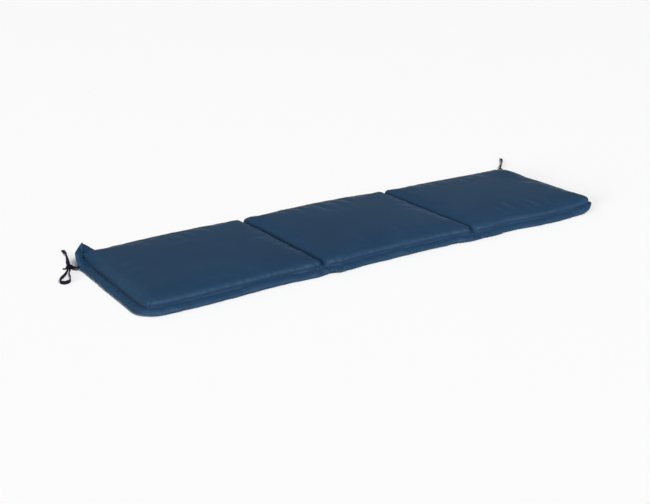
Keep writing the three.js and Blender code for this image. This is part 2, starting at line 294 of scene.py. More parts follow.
def knot_wraps(name, tie):
    middle = Vector((tie["side"] * (HALF_LENGTH + KNOT_OUT), KNOT_Y, 5.4))
    bm = bmesh.new()
    square = math.radians(90 - 8 * tie["side"])
    slant = square + math.radians(58) * tie["side"]
    ring_of_tape(bm, middle, slant, 7.8, 4.1, 8.4, 0.9)
    ring_of_tape(bm, middle, square, 8.8, 4.65, 7.4, 1.1)
    bmesh.ops.remove_doubles(bm, verts=bm.verts, dist=0.02 * MM)
    bmesh.ops.recalc_face_normals(bm, faces=bm.faces)
    bmesh.ops.solidify(bm, geom=bm.faces[:], thickness=0.9 * MM)
    core = bmesh.ops.create_icosphere(bm, subdivisions=2, radius=1)
    bmesh.ops.scale(bm, vec=Vector((7.4, 7.4, 3.8)) * MM, verts=core["verts"])
    bmesh.ops.translate(bm, vec=middle * MM, verts=core["verts"])
    return finish_piece(f"{name}_knot_wraps", bm)


# %% Knots
cloth_pieces = {"tape": [], "cover": []}
for tie_name, tie in TIES.items():
    wraps = knot_wraps(tie_name, tie)
    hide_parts(f"{tie_name}_knot")
    tape_a, line_a, length_a, tape_b, line_b, length_b = tapes[tie_name]
    for piece, line, length, on_it in ((tape_a, line_a, length_a, [wraps]), (tape_b, line_b, length_b, [])):
        tuple(line[0])
        [tuple(point) for point in line]
        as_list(on_it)
    for piece in (tape_a, tape_b, wraps):
        cloth_pieces["tape"].append(piece)
    print(tie_name, "knot", len(wraps.data.vertices), "points")

# %% [markdown]
# ## The cover's cut
# The cushion is made from a flat pattern, a rectangle of 1497 by 481 mm, and each of its points has
# a place on the cover. The solids use the same sizes, so the dressed cushion stays where they are.
# These are the driving sizes: the foam, the seam round it, the lip outside the seam, the corners
# and the wandering of the front and back edges.

# %% Sizes of the cover
LENGTH, DEPTH = 1497, 481
HALF_DEPTH = DEPTH / 2
PANEL_HEIGHT, CROWN = 38, 4.5
SHOULDER, SHOULDER_POWER = 22, 2.9  # how far in the foam reaches its height, and how square it is
CHANNEL_SHOULDER_POWER, CHANNEL_FLOOR = 2.6, 2.4
LEFT_SHOULDER, LEFT_SHOULDER_POWER = 27, 2.2  # the left end is worn softer
UNDER_EDGE = 26
LIP_WIDTH, LIP_THICKNESS, LIP_HEIGHT = 22, 8.5, 5.7
SEAM_HEIGHT, SEAM_THICKNESS = 12, 4
LIP_ROUND = 1.8
CORNERS = [  # side in x, side in y, radius, power of the lip's edge, power of the seam
    (-1, -1, 60, 2, 2.4),
    (1, -1, 90, 2.1, 5.2),
    (1, 1, 60, 2, 2.4),
    (-1, 1, 60, 5, 5),
]
CHANNELS = [(-245, 10, -12), (249, 10, -2)]  # x, how far the front end strays, and the back end
STRAY_REACH = 130
PANEL_CORNER = 20
FRONT_EDGE = [  # x, how far the edge lies behind the foremost line
    (-750, 0), (-600, 0), (-440, 8), (-350, 12), (-275, 8), (-236, 12), (-205, 5), (-100, 13), (185, 14),
    (225, 6), (258, 8), (292, 5), (390, 14), (480, 5), (560, 3), (640, 8), (750, 15),
]
BACK_EDGE = [  # x, how far the edge lies before the rearmost line
    (-750, 44), (-640, 34), (-550, 24), (-385, 17), (-242, 14), (-60, 2), (95, 0), (249, 9), (470, 10),
    (680, 15), (750, 20),
]
LIFTS = [(-233, -241, 4, 11), (270, -241, 4, 12), (-242, 241, 5, 30), (249, 241, 5, 30), (750, -241, 9, 75)]
FULLER = [(715, 140, 7, 60), (725, -20, 4, 110), (715, -185, 5, 45), (722, -212, 4, 26)]  # x, y, rise, reach, as in LIFTS
SEAM_LIFT = 0.5
TURN_LEFT, TURN_BACK, TURN_TIP = np.array([(-18, 1, 15), (6, 5, 31), (2, 4, 37)], float)
TURN_LEFT_REACH, TURN_BACK_REACH = 45, 75
CORNER_RAISE, CORNER_PUSH, CORNER_REACH = 11, 7, 38  # how much the turned-up corner's seam is moved
BACK_ENDS = [(-245, 219, 6, 20), (249, 219, 6, 20)]  # the channels' back ends lie higher
FRONT_DROP = 4.5  # how much lower the foam's shoulder is along the front than elsewhere
FRONT_SEAM_RISE = 3.0  # how much higher the seam runs along the front than elsewhere
WALL_BULGE, CHANNEL_BULGE = 1.4, 0.5  # how far the foam swells over the seam and into a channel


# %% [markdown]
# ## From the pattern to the cover
# These functions take whole arrays of pattern points at once, u along the seat and v across it,
# which is far faster than one vertex at a time. Each answers one question about the cover, such as
# how far a point lies inside its foam panel.

# %% Where the pattern goes in plan
def smoothstep(share):
    share = np.clip(share, 0, 1)
    return share * share * (3 - 2 * share)


def mix(a, b, share):
    return a + (b - a) * share


def edge_inset(u, v):
    return np.minimum(HALF_LENGTH - np.abs(u), HALF_DEPTH - np.abs(v))


def drift_at(rows, x):
    xs, drifts = np.array(rows, float).T
    i = np.clip(np.searchsorted(xs, x, side="right") - 1, 0, len(xs) - 2)
    before, after = np.maximum(np.arange(len(xs)) - 1, 0), np.minimum(np.arange(len(xs)) + 1, len(xs) - 1)
    slopes = (drifts[after] - drifts[before]) / (xs[after] - xs[before])
    span = xs[i + 1] - xs[i]
    s = (x - xs[i]) / span
    at_start = (1 + 2 * s) * (1 - s) ** 2 * drifts[i] + s * (1 - s) ** 2 * span * slopes[i]
    at_end = s * s * (3 - 2 * s) * drifts[i + 1] - s * s * (1 - s) * span * slopes[i + 1]
    return at_start + at_end


def stray(u, v):
    to_front, to_back = np.clip(-v / HALF_DEPTH, 0, 1) ** 3, np.clip(v / HALF_DEPTH, 0, 1) ** 3
    return sum(
        np.exp(-(((u - x) / STRAY_REACH) ** 2)) * (front * to_front + back * to_back)
        for x, front, back in CHANNELS
    )


def past_left(v):
    return np.maximum(HALF_DEPTH - LIP_WIDTH - v, 0)


def past_back(u):
    return np.maximum(u + HALF_LENGTH - LIP_WIDTH, 0)


def at_turned_corner(u, v):
    """1 at the turned-up corner, fading to nothing away from it."""
    return np.exp(-((np.hypot(past_left(v), past_back(u)) / CORNER_REACH) ** 2))


def plan_point(u, v):
    x, y = u + stray(u, v), v + 0.0
    inset = np.clip(edge_inset(u, v) / LIP_WIDTH, 0, 1)
    for side_x, side_y, radius, lip_power, seam_power in CORNERS:
        du = side_x * u - (HALF_LENGTH - radius)
        dv = side_y * v - (HALF_DEPTH - radius)
        here = (du > 0) & (dv > 0)
        power = mix(lip_power, seam_power, inset[here])
        du, dv = du[here], dv[here]
        pull = np.maximum(du, dv) / (du**power + dv**power) ** (1 / power)
        x[here] = side_x * (HALF_LENGTH - radius + du * pull)
        y[here] = side_y * (HALF_DEPTH - radius + dv * pull)
    front = -HALF_DEPTH + drift_at(FRONT_EDGE, x)
    back = HALF_DEPTH - drift_at(BACK_EDGE, x)
    return x - CORNER_PUSH * at_turned_corner(u, v), mix(front, back, (y + HALF_DEPTH) / DEPTH)


# %% How high the cover stands
def foam_reach(u, v):
    edge = np.maximum(edge_inset(u, v) - LIP_WIDTH, 0)
    channel = np.min([np.abs(u - x) for x, _, _ in CHANNELS], axis=0)
    rounded = PANEL_CORNER - np.hypot(np.maximum(PANEL_CORNER - edge, 0), np.maximum(PANEL_CORNER - channel, 0))
    nearest = np.minimum(edge, channel)
    return np.maximum(np.minimum(rounded, nearest), 0) + np.maximum(nearest - PANEL_CORNER, 0)


def shoulder(share, power=SHOULDER_POWER):
    return (1 - (1 - np.clip(share, 0, 1)) ** power) ** (1 / power)


def panel_bulge(u, v):
    bounds = np.array([-HALF_LENGTH, CHANNELS[0][0], CHANNELS[1][0], HALF_LENGTH])
    panel = np.clip(np.searchsorted(bounds, u, side="right") - 1, 0, 2)
    middle, half = (bounds[panel] + bounds[panel + 1]) / 2, (bounds[panel + 1] - bounds[panel]) / 2
    across, along = np.abs(u - middle) / half, np.abs(v) / HALF_DEPTH
    return (1 - np.minimum(across, 1) ** 2.5) * (1 - along**2.5)


def bumps(rows, u, v):
    return sum(rise * np.exp(-(np.hypot(u - x, v - y) / reach) ** 2) for x, y, rise, reach in rows)


def along_front(v):
    """1 along the front seam, 0 from the middle of the cushion backwards."""
    return smoothstep((-v - 140) / 75)


def seam_level(v):
    return SEAM_HEIGHT + FRONT_SEAM_RISE * along_front(v)


def seam_height(u, v):
    lifted = SEAM_LIFT * bumps(LIFTS, u, v) + bumps(BACK_ENDS, u, v)
    return seam_level(v) + lifted + CORNER_RAISE * at_turned_corner(u, v)


# %% The foam's part of the cover, and the lip's
def foam_points(u, v, side):
    x, y = plan_point(u, v)
    reach = foam_reach(u, v)
    start = seam_height(u, v) + side * SEAM_THICKNESS / 2
    under = start * (1 - shoulder(reach / UNDER_EDGE))
    top = PANEL_HEIGHT - FRONT_DROP * along_front(v) + bumps(FULLER, u, v)
    top = np.maximum(top, start) + CROWN * panel_bulge(u, v)
    from_channel = np.min([np.abs(u - place) for place, _, _ in CHANNELS], axis=0)
    from_edge = edge_inset(u, v) - LIP_WIDTH
    at_edge = smoothstep(0.5 + (from_channel - from_edge) / 30)
    at_left = smoothstep(0.5 + (HALF_DEPTH - np.abs(v) - HALF_LENGTH - u) / 50)
    power = mix(mix(CHANNEL_SHOULDER_POWER, SHOULDER_POWER, at_edge), LEFT_SHOULDER_POWER, at_left)
    reach = np.maximum(reach - CHANNEL_FLOOR * (1 - at_edge), 0)
    height_share = shoulder(reach / mix(SHOULDER, LEFT_SHOULDER, at_left), power)

    # The foam swells outwards half way up its side, away from where its reach grows
    slope_u = foam_reach(u - 0.5, v) - foam_reach(u + 0.5, v)
    slope_v = foam_reach(u, v - 0.5) - foam_reach(u, v + 0.5)
    steepest = np.maximum(np.hypot(slope_u, slope_v), 1e-6)
    swell = mix(CHANNEL_BULGE, WALL_BULGE, at_edge) * (1 - at_left)
    swell = swell * np.sin(math.pi * height_share) * (side > 0)
    x, y = x + swell * slope_u / steepest, y + swell * slope_v / steepest
    return np.stack([x, y, np.where(side < 0, under, mix(start, top, height_share))], 1)


def lip_points(u, v, side):
    seam_u = np.clip(u, -HALF_LENGTH + LIP_WIDTH, HALF_LENGTH - LIP_WIDTH)
    seam_v = np.clip(v, -HALF_DEPTH + LIP_WIDTH, HALF_DEPTH - LIP_WIDTH)
    seam = np.stack([*plan_point(seam_u, seam_v), seam_height(seam_u, seam_v)], 1)
    out = np.clip(1 - edge_inset(u, v) / LIP_WIDTH, 0, 1)
    edge_height = mix(seam_level(seam_v), LIP_HEIGHT, out**0.8) + bumps(LIFTS, u, v)
    lying = np.stack([*plan_point(u, v), edge_height], 1) - seam

    out_left = np.clip((seam_u - u) / LIP_WIDTH, 0, 1)[:, None]
    out_back = np.clip((v - seam_v) / LIP_WIDTH, 0, 1)[:, None]
    turned = (
        TURN_LEFT * out_left * (1 - out_back)
        + TURN_BACK * out_back * (1 - out_left)
        + TURN_TIP * out_left * out_back
    )
    fade_left = 1 - smoothstep(past_left(seam_v) / TURN_LEFT_REACH)
    turn = fade_left * (1 - smoothstep(past_back(seam_u) / TURN_BACK_REACH))
    way = mix(lying, turned, turn[:, None])

    flat = np.maximum(np.hypot(way[:, 0], way[:, 1]), 1e-6)
    steep = np.arctan2(way[:, 2], flat) * turn * smoothstep(out * 2)
    square = np.stack([-way[:, 0] / flat * np.sin(steep), -way[:, 1] / flat * np.sin(steep), np.cos(steep)], 1)
    half = mix(SEAM_THICKNESS, LIP_THICKNESS, np.sin(math.pi * out**1.4)) / 2
    bulge = LIP_ROUND * np.sqrt(np.maximum(1 - side**2, 0))
    long = np.maximum(np.linalg.norm(way, axis=1), 1e-6)
    return seam + way + square * (side * half)[:, None] + way / long[:, None] * bulge[:, None]


def cover_points(u, v, side):
    in_lip = edge_inset(u, v) < LIP_WIDTH
    return np.where(in_lip[:, None], lip_points(u, v, side), foam_points(u, v, side))


# %% [markdown]
# ## The cover's mesh
# The mesh starts as a flat grid of squares that is pulled up into a thin box, so it is closed from
# the start and its lines run along the cloth. Its lines are then moved: close together at the seams,
# where the cloth bends sharply, and wide apart on the flat of the panels. A voxel remesh would be
# quicker to write, but it would blur the thin lip and lose the pattern's lines.

# %% Lines of the pattern
FROM_EDGE = [0, 3.5, 7.5, 12, 17, 20.5, LIP_WIDTH, 22.4, 23.2, 24.8, 27.5, 31, 36, 43, 52]
FROM_CHANNEL = [0, 0.4, 1.2, 2.8, 5.5, 9, 14, 21, 30, 40, 50]
PANEL_STEP = 8


def pattern_lines(half, channels=()):
    """Positions of the grid's lines from -half to half."""
    lines = {-half + inset for inset in FROM_EDGE} | {half - inset for inset in FROM_EDGE}
    for x in channels:
        lines |= {x + side * away for away in FROM_CHANNEL for side in (-1, 1)}
    fixed = sorted(lines)
    for a, b in zip(fixed, fixed[1:]):
        extra = math.ceil((b - a) / PANEL_STEP) - 1 if b - a > 14 else 0
        lines |= {a + (b - a) * k / (extra + 1) for k in range(1, extra + 1)}
    return np.array(sorted(lines))


us = pattern_lines(HALF_LENGTH, [x for x, _, _ in CHANNELS])
vs = pattern_lines(HALF_DEPTH)
print("pattern lines", len(us), "by", len(vs))

# %% Box of cloth on the pattern
bm = bmesh.new()
bmesh.ops.create_grid(bm, x_segments=len(us) - 1, y_segments=len(vs) - 1, size=0.5)
pulled = bmesh.ops.extrude_face_region(bm, geom=bm.faces[:], use_keep_orig=True)
upper = [part for part in pulled["geom"] if isinstance(part, bmesh.types.BMVert)]
bmesh.ops.translate(bm, verts=upper, vec=(0, 0, 1))
rim_edges = [e for e in bm.edges if abs(e.verts[0].co.z - e.verts[1].co.z) > 0.5]
bmesh.ops.subdivide_edges(bm, edges=rim_edges, cuts=1, use_grid_fill=True)
bmesh.ops.recalc_face_normals(bm, faces=bm.faces)
cushion = finish_piece("cushion_cover", bm)
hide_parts("cushion")

box = places(cushion.data)
column = np.rint((box[:, 0] + 0.5) * (len(us) - 1)).astype(int)
row = np.rint((box[:, 1] + 0.5) * (len(vs) - 1)).astype(int)
u, v = us[column], vs[row]
side = np.rint(box[:, 2] * 2 - 1)
base = cover_points(u, v, side)
place_all(cushion.data, base * MM)
print("cover", len(box), "points, box", (base.min(0) * MM).round(4), (base.max(0) * MM).round(4))

# %% [markdown]
# ## Blowing the cover up
# A real cover is cut a little larger than its foam, so it lies in shallow waves and pulls into small
# creases at the seams. A cloth simulation finds those by itself: the seams, the lip and the
# underside are pinned, the cloth grows by a couple of per cent, and a little pressure from inside
# stands for the foam. The foam decides how high a panel is, so of all that the simulation moves,
# only the short waves are kept, and they are capped. It runs for 20 frames and its result is written
# in the mesh, so no simulation is left on the piece.

# %% Grid of the cover's points
index = np.full((2, len(us), len(vs)), -1)
for layer, level in enumerate((1, -1)):
    there = side == level
    index[layer, column[there], row[there]] = np.nonzero(there)[0]
rim_grid = np.full((len(us), len(vs)), -1)
rim_grid[column[side == 0], row[side == 0]] = np.nonzero(side == 0)[0]


def broad(grid, passes):
    """The broad waves of a grid of values: each pass mixes every value with its neighbours."""
    for _ in range(passes):
        wide = np.pad(grid, ((1, 1), (0, 0)), mode="edge")
        grid = (wide[:-2] + 2 * grid + wide[2:]) / 4
        wide = np.pad(grid, ((0, 0), (1, 1)), mode="edge")
        grid = (wide[:, :-2] + 2 * grid + wide[:, 2:]) / 4
    return grid


# %% Cloth simulation
CLOTH_GROWTH = 0.02
WAVE_CAP = 1.4
BROAD_SHARE = 0.15
free = (side > 0) & (edge_inset(u, v) > LIP_WIDTH + 1)
for x, _, _ in CHANNELS:
    free &= np.abs(u - x) > 1


def blow_up(piece, frames=20):
    """Runs the cloth simulation and returns where the points end up, in metres."""
    pins = piece.vertex_groups.new(name="pinned")
    pins.add([int(i) for i in np.nonzero(~free)[0]], 1.0, "REPLACE")
    cloth = piece.modifiers.new("blow_up", "CLOTH")
    cloth.settings.quality = 5
    cloth.settings.mass = 0.3
    cloth.settings.tension_stiffness = 15
    cloth.settings.compression_stiffness = 15
    cloth.settings.shear_stiffness = 5
    cloth.settings.bending_stiffness = 0.6
    cloth.settings.use_pressure = True
    cloth.settings.uniform_pressure_force = 4
    cloth.settings.shrink_min = -CLOTH_GROWTH
    cloth.settings.vertex_group_mass = "pinned"
    cloth.settings.effector_weights.gravity = 0
    cloth.collision_settings.use_collision = False
    cloth.point_cache.frame_start, cloth.point_cache.frame_end = 1, frames
    for frame_number in range(1, frames + 1):
        bpy.context.scene.frame_set(frame_number)
    blown = piece.evaluated_get(bpy.context.evaluated_depsgraph_get())
    result = places(blown.data).copy()
    piece.modifiers.remove(cloth)
    piece.vertex_groups.remove(pins)
    bpy.context.scene.frame_set(1)
    return result


moved = blow_up(cushion) / MM - base
print("simulation moved the cover by", np.abs(moved).max().round(1), "mm at most")
top_move = moved[index[0]]
lasting = np.stack([broad(top_move[..., axis], 30) for axis in range(3)], -1)
waves = top_move - (1 - BROAD_SHARE) * lasting
size = np.linalg.norm(waves, axis=2, keepdims=True)
waves *= WAVE_CAP * np.tanh(size / WAVE_CAP) / np.maximum(size, 1e-9)
base[index[0]] += waves * free[index[0]][..., None]
place_all(cushion.data, base * MM)
print("waves kept: up to", np.linalg.norm(waves, axis=2).max().round(2), "mm")

# %% [markdown]
# ## The weave's map
# A woven pattern follows its threads, so the cover needs a map of its own: how far each point lies
# from the middle of the cloth, measured along the cloth itself. Adding up the lengths of the mesh's
# edges along its rows and columns gives just that, also down the steep sides of the foam.


# %% Map of the cover
def cloth_map(points):
    """For each vertex, its distance along the cloth from the middle, in metres."""
    mapped = np.zeros((len(points), 2))
    for layer in (1, 0):
        grid = points[index[layer]]
        run_x = np.linalg.norm(np.diff(grid, axis=0), axis=2)
        run_y = np.linalg.norm(np.diff(grid, axis=1), axis=2)
        map_x = np.concatenate([np.zeros((1, len(vs))), np.cumsum(run_x, axis=0)])
        map_y = np.concatenate([np.zeros((len(us), 1)), np.cumsum(run_y, axis=1)], axis=1)
        map_x -= map_x[len(us) // 2]
        map_y -= map_y[:, len(vs) // 2][:, None]
        mapped[index[layer]] = np.stack([map_x, map_y], 2)
    edge = rim_grid >= 0
    mapped[rim_grid[edge]] = np.stack([map_x, map_y], 2)[edge]
    return mapped * MM


def give_map(mesh, mapped):
    layer = mesh.uv_layers.new(name="UVMap")
    corners = np.empty(len(mesh.loops), int)
    mesh.loops.foreach_get("vertex_index", corners)
    layer.uv.foreach_set("vector", mapped[corners].ravel())


give_map(cushion.data, cloth_map(base))
pattern = cushion.data.attributes.new("pattern", "FLOAT_VECTOR", "POINT")
pattern.data.foreach_set("vector", np.stack([u, v, side], 1).ravel())

# %% [markdown]
# ## A finer mesh for the small folds
# One step of subdivision rounds what the grid left angular and makes points close enough together
# for folds a centimetre apart. It is applied at once, so the folds can be put in by moving points.

# %% Subdivide and keep the pattern
finer = cushion.modifiers.new("finer", "SUBSURF")
finer.levels = finer.render_levels = 1
evaluated = cushion.evaluated_get(bpy.context.evaluated_depsgraph_get())
fine_mesh = bpy.data.meshes.new_from_object(evaluated)
cushion.modifiers.remove(finer)
cushion.data = fine_mesh
fine_mesh.name = "cushion_cover"
pattern_rows = np.empty(len(fine_mesh.vertices) * 3)
fine_mesh.attributes["pattern"].data.foreach_get("vector", pattern_rows)
u, v, side = pattern_rows.reshape(-1, 3).T.copy()
fine_mesh.attributes.remove(fine_mesh.attributes["pattern"])
print("finer cover", len(u), "points,", len(fine_mesh.polygons), "faces")


# %% [markdown]
# ## Small folds along the seams
# A sewing machine gathers cloth a little, so each seam has a sunk line with soft uneven ripples on
# both sides of it. The ripples come from smooth noise along the seam, and fade away from it. At
# each corner of the foam the cover has a short fold, and where a channel meets the lip it pinches
# the lip and leaves a small pleat.


# %% Smooth noise
noise_table = np.random.default_rng(11).uniform(-1, 1, 8192)


def ripple(distance, length, start=0):
    """Smooth uneven waves along a distance, from -1 to 1, about two lengths from crest to crest."""
    place = np.asarray(distance) / length + start
    step = np.floor(place).astype(int)
    share = smoothstep(place - step)
    return mix(noise_table[step % 8192], noise_table[(step + 1) % 8192], share)


def hill(distance, reach):
    """1 at no distance, fading to nothing over about twice the reach."""
    return np.exp(-((distance / reach) ** 2))


# %% Ripples, sunk seams and pleats
SEAM_SINK = 1.4
LEFT_SINK = 2.6  # more of it along the left end, where the underside sinks too
RIPPLE_WALL, RIPPLE_LIP = 1.4, 2.0
PLEATS = [  # from u, v to u, v on the pattern, depth, reach
    (-245, -219, -243, -242, 3.4, 2.2),
    (-236, -222, -230, -242, 4.0, 2.2),
    (-259, -219, -264, -238, 2.4, 2.4),
    (-272, -214, -270, -234, 2.8, 2.4),
    (-284, -217, -289, -232, 2.6, 2.4),
    (-298, -215, -296, -226, 1.8, 2.6),
    (249, -219, 251, -242, 3.0, 2.2),
    (259, -222, 266, -242, 3.6, 2.2),
    (238, -216, 233, -236, 2.4, 2.4),
    (222, -216, 219, -230, 1.8, 2.6),
    (727, -219, 706, -198, 4.5, 2.6),
    (-727, -219, -714, -206, 1.8, 2.6),
    (727, 219, 714, 206, 1.8, 2.6),
    (-730, 219, -747, 221, 5.0, 2.8),
    (-727, 216, -727, 184, 4.0, 3.0),
    (-722, 219, -696, 219, 3.6, 3.0),
]


def pleat_depths(u, v):
    """How deep each point lies in the pleats, in mm. A pleat is equally deep all along its line."""
    total = np.zeros_like(u)
    for from_u, from_v, to_u, to_v, depth, reach in PLEATS:
        long_u, long_v = to_u - from_u, to_v - from_v
        share = np.clip(((u - from_u) * long_u + (v - from_v) * long_v) / (long_u**2 + long_v**2), 0, 1)
        away = np.hypot(u - from_u - share * long_u, v - from_v - share * long_v)
        total += depth * hill(away, reach)
    return total


def fold_moves(u, v, side):
    """How far the small folds move each point: along its normal, and straight up, in mm."""
    from_seam = edge_inset(u, v) - LIP_WIDTH
    in_u, in_v = HALF_LENGTH - np.abs(u), HALF_DEPTH - np.abs(v)
    by_front = smoothstep(0.5 + (in_u - in_v) / 24)  # 1 beside the front or back, 0 beside an end
    by_left = (1 - by_front) * (u < 0)
    on_top = smoothstep(side)
    sign_u, sign_v = np.sign(u), np.sign(v)
    out = np.clip(-from_seam / LIP_WIDTH, 0, 1)
    from_channel = np.min([np.abs(u - x) for x, _, _ in CHANNELS], axis=0)

    long_ripple = ripple(u, 8, 40 + 300 * sign_v) * 0.5 + ripple(u, 19, 900 + 300 * sign_v) * 0.7
    end_ripple = ripple(v, 8, 1500 + 300 * sign_u) * 0.5 + ripple(v, 19, 2100 + 300 * sign_u) * 0.7
    edge_ripple = mix(end_ripple, long_ripple, by_front)
    gather = 1 + 1.3 * hill(from_channel, 50)  # the cloth gathers more beside the channels' ends
    wall = RIPPLE_WALL * (1 - 0.5 * by_left) * np.where(from_seam >= 0, hill(from_seam - 3, 9), 0)
    lip = RIPPLE_LIP * np.sin(math.pi * out**0.8)
    normal = edge_ripple * gather * (wall * on_top + lip * (0.4 + 0.6 * on_top))

    # The lip's outer edge waves in and out, and up and down
    rim_ripple = mix(ripple(v, 16, 5100 + 200 * sign_u), ripple(u, 16, 4700 + 200 * sign_v), by_front)
    normal += 0.9 * rim_ripple * smoothstep((out - 0.5) * 2)
    rim_wave = mix(ripple(v, 27, 6100 + 200 * sign_u), ripple(u, 27, 5600 + 200 * sign_v), by_front)
    upward = 1.2 * rim_wave * out**2

    channel_ripple = ripple(v, 11, 3000 + 300 * sign_u) * 0.5 + ripple(v, 26, 3900 + 300 * sign_u) * 0.7
    inside = smoothstep(from_seam / 12)
    normal += channel_ripple * 0.9 * hill(from_channel - 9, 11) * on_top * inside
    normal -= pleat_depths(u, v) * on_top

    sunk = hill(np.minimum(from_seam, 0), 2.8 + 1.4 * by_left) * smoothstep((0.9 - from_seam) / 0.9)
    upward -= (SEAM_SINK * on_top + LEFT_SINK * by_left) * sunk
    short_of_back = smoothstep((HALF_DEPTH - 28 - v) / 30)
    upward -= 2.5 * hill(from_channel, 1.6) * on_top * smoothstep(from_seam / 4 + 1) * short_of_back
    return normal, upward


fine = places(fine_mesh) / MM
normals = np.empty(len(fine_mesh.vertices) * 3)
fine_mesh.vertex_normals.foreach_get("vector", normals)
normals = normals.reshape(-1, 3)
normal_move, up_move = fold_moves(u, v, side)
fine += normals * normal_move[:, None]
fine[:, 2] += up_move
fine[:, 2] = np.maximum(fine[:, 2], 0)
place_all(fine_mesh, fine * MM)
print("folds up to", np.abs(normal_move).max().round(2), "mm, seams sunk", (-up_move).max().round(2), "mm")

cloth_pieces["cover"].append(cushion)

# %% [markdown]
# ## Stitches
# A lockstitch shows as a row of short threads, each pulled down at both ends. There is one row on
# the lip beside the foam, all the way round, and one at the bottom of each channel. The rows lie on
# lines of the cover's own mesh, so the stitches follow its ripples. Each stitch is a long ball with
# few faces. A texture would be lighter, but a thread casts a small shadow that a texture lacks.

# %% Rows of stitches
STITCH_PITCH, STITCH_LENGTH, STITCH_WIDTH, STITCH_HEIGHT = 4.6, 3.5, 1.0, 0.8
STITCH_INSET = 20.5


def row_points(on_row, order, closed=False):
    """The cover's points on a row in order, with their normals."""
    chosen = np.nonzero(on_row)[0]
    chosen = chosen[np.argsort(order[chosen])]
    if closed:
        chosen = np.append(chosen, chosen[0])
    return fine[chosen], lie[chosen]


def sew(points, upwards):
    """Places and axes of the stitches along a row: rows of middle, along, across and up."""
    distance = np.r_[0, np.cumsum(np.linalg.norm(np.diff(points, axis=0), axis=1))]
    count = int(distance[-1] / STITCH_PITCH)
    pitch = distance[-1] / count
    middles = (np.arange(count) + 0.5) * pitch
    at = lambda values, where: np.stack([np.interp(where, distance, values[:, i]) for i in range(3)], 1)
    along = at(points, middles + 0.3 * pitch) - at(points, middles - 0.3 * pitch)
    along /= np.linalg.norm(along, axis=1, keepdims=True)
    across = np.cross(at(upwards, middles), along)
    across /= np.linalg.norm(across, axis=1, keepdims=True)
    up = np.cross(along, across)
    return np.stack([at(points, middles) + up * 0.2, along, across, up], 1)


lie = np.empty(len(fine_mesh.vertices) * 3)
fine_mesh.vertex_normals.foreach_get("vector", lie)
lie = lie.reshape(-1, 3)
half_u, half_v = HALF_LENGTH - STITCH_INSET, HALF_DEPTH - STITCH_INSET
top_side = side > 0.99
edge_row = top_side & (np.abs(edge_inset(u, v) - STITCH_INSET) < 0.05)
sewn = [sew(*row_points(edge_row, np.arctan2(v / half_v, u / half_u), closed=True))]
for x, _, _ in CHANNELS:
    channel_row = top_side & (np.abs(u - x) < 0.05) & (np.abs(v) < half_v - 6)
    sewn.append(sew(*row_points(channel_row, v)))
sewn = np.concatenate(sewn)

# %% One stitch, repeated and laid along the rows
COPIES_APART = 4
bm = bmesh.new()
bmesh.ops.create_uvsphere(bm, u_segments=6, v_segments=4, radius=1)
stitches = finish_piece("cover_stitches", bm)
copies = stitches.modifiers.new("copies", "ARRAY")
copies.count = len(sewn)
copies.use_relative_offset = False
copies.use_constant_offset = True
copies.constant_offset_displace = (COPIES_APART, 0, 0)
evaluated = stitches.evaluated_get(bpy.context.evaluated_depsgraph_get())
stitches.data = bpy.data.meshes.new_from_object(evaluated)
stitches.modifiers.remove(copies)
ball = places(stitches.data)
which = np.rint(ball[:, 0] / COPIES_APART).astype(int)
ball[:, 0] -= which * COPIES_APART
middle, along, across, up = sewn[which].transpose(1, 0, 2)
ball *= np.array([STITCH_LENGTH, STITCH_WIDTH, STITCH_HEIGHT]) / 2
place_all(stitches.data, (middle + along * ball[:, :1] + across * ball[:, 1:2] + up * ball[:, 2:]) * MM)
print(len(sewn), "stitches,", len(stitches.data.polygons), "faces")

# %% [markdown]
# ## Materials
# Both cloths are built from the same few nodes. One small function adds a node, sets its inputs by
# name and links the ones that are given as sockets, so a material reads as a list of its layers.


# %% Node helper
def add_node(tree, kind, settings=None, **inputs):
    """Adds a node. settings are its own properties, inputs its sockets by name or by number."""
    node = tree.nodes.new(kind)
    for name, value in (settings or {}).items():
        setattr(node, name, value)
    for name, value in inputs.items():
        socket = node.inputs[int(name[1:])] if name[0] == "i" and name[1:].isdigit() else node.inputs[name.replace("_", " ")]
        if isinstance(value, bpy.types.NodeSocket):
            tree.links.new(value, socket)
        else:
            socket.default_value = value
    return node


def new_material(name):
    material = bpy.data.materials.new(name)
    material.use_nodes = True
    tree = material.node_tree
    tree.nodes.clear()
    shader = tree.nodes.new("ShaderNodeBsdfPrincipled")
    output = tree.nodes.new("ShaderNodeOutputMaterial")
    tree.links.new(shader.outputs["BSDF"], output.inputs["Surface"])
    return material, tree, shader


# %% [markdown]
# ## The cover's cloth
# It is a plain weave of spun polyester: threads about half a millimetre apart that go over and
# under each other. From a step away that reads as a matt, very slightly speckled surface, with a
# faint pale bloom where it turns away from the eye. The threads are drawn 0.9 mm apart, because
# real ones are far below a pixel here.

# %% Plain weave polyester
THREAD_PITCH = 0.9 * MM


